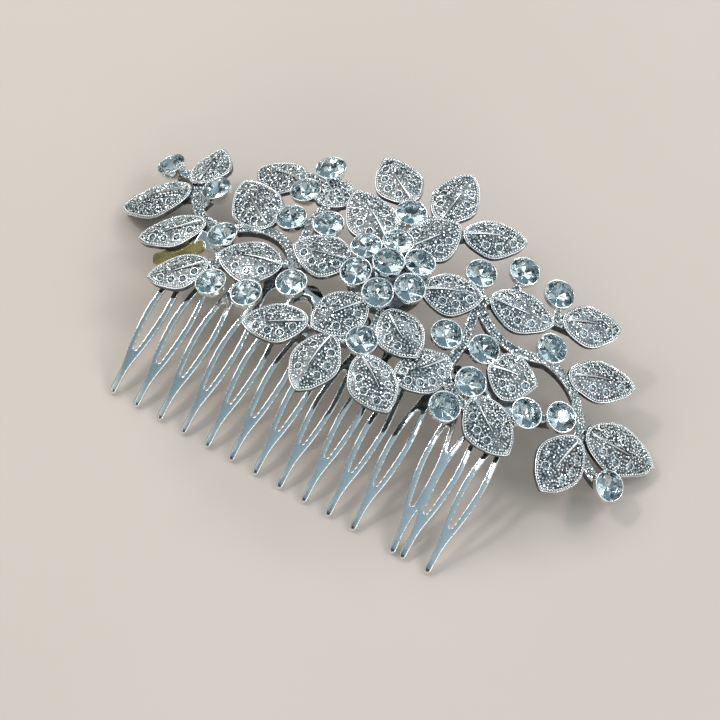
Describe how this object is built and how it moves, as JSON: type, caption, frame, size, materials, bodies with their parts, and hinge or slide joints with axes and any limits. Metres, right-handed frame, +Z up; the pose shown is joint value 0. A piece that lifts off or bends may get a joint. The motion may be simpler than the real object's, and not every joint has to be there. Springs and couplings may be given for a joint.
{
  "type": "decorative hair comb",
  "caption": "Metal side comb with looped tines under a domed spray of stone-set leaves and round faceted crystals.",
  "frame": {"origin": "middle of the bounding box in plan, at the lowest point, where the tine tips and outer leaves rest", "axes": "+X along the comb's spine, -Y the way the tines point, +Z up through the ornament's crown"},
  "size_m": [0.131, 0.0772, 0.031],
  "materials": {
    "comb_metal": "bright rhodium-like plating over pressed sheet, polished, fine wear",
    "ornament_metal": "bright silver-coloured plating over cast leaves and stems",
    "crystal": "clear faceted foiled glass",
    "pave_stone": "small clear faceted glass"
  },
  "bodies": {
    "root": {"branch_left": "ornament_metal", "branch_right": "ornament_metal", "cluster_plate": "ornament_metal", "comb_blade": "comb_metal", "crystals_cluster": "crystal", "crystals_left": "crystal", "crystals_right": "crystal", "cups_cluster": "ornament_metal", "cups_left": "ornament_metal", "cups_right": "ornament_metal", "end_brace": "comb_metal", "leaf_left_01": "ornament_metal", "leaf_left_02": "ornament_metal", "leaf_left_03": "ornament_metal", "leaf_left_04": "ornament_metal", "leaf_left_05": "ornament_metal", "leaf_left_06": "ornament_metal", "leaf_left_07": "ornament_metal", "leaf_left_08": "ornament_metal", "leaf_left_09": "ornament_metal", "leaf_left_10": "ornament_metal", "leaf_left_11": "ornament_metal", "leaf_left_12": "ornament_metal", "leaf_left_13": "ornament_metal", "leaf_left_14": "ornament_metal", "leaf_right_01": "ornament_metal", "leaf_right_02": "ornament_metal", "leaf_right_03": "ornament_metal", "leaf_right_04": "ornament_metal", "leaf_right_05": "ornament_metal", "leaf_right_06": "ornament_metal", "leaf_right_07": "ornament_metal", "leaf_right_08": "ornament_metal", "leaf_right_09": "ornament_metal", "leaf_right_10": "ornament_metal", "leaf_right_11": "ornament_metal", "leaf_right_12": "ornament_metal", "leaf_right_13": "ornament_metal", "leaf_right_14": "ornament_metal", "pave_left": "pave_stone", "pave_right": "pave_stone", "solder_post_left": "comb_metal", "solder_post_right": "comb_metal", "sprig_lower_left": "ornament_metal", "sprig_lower_right": "ornament_metal", "sprig_upper_left": "ornament_metal", "sprig_upper_right": "ornament_metal"}
  },
  "joints": []
}
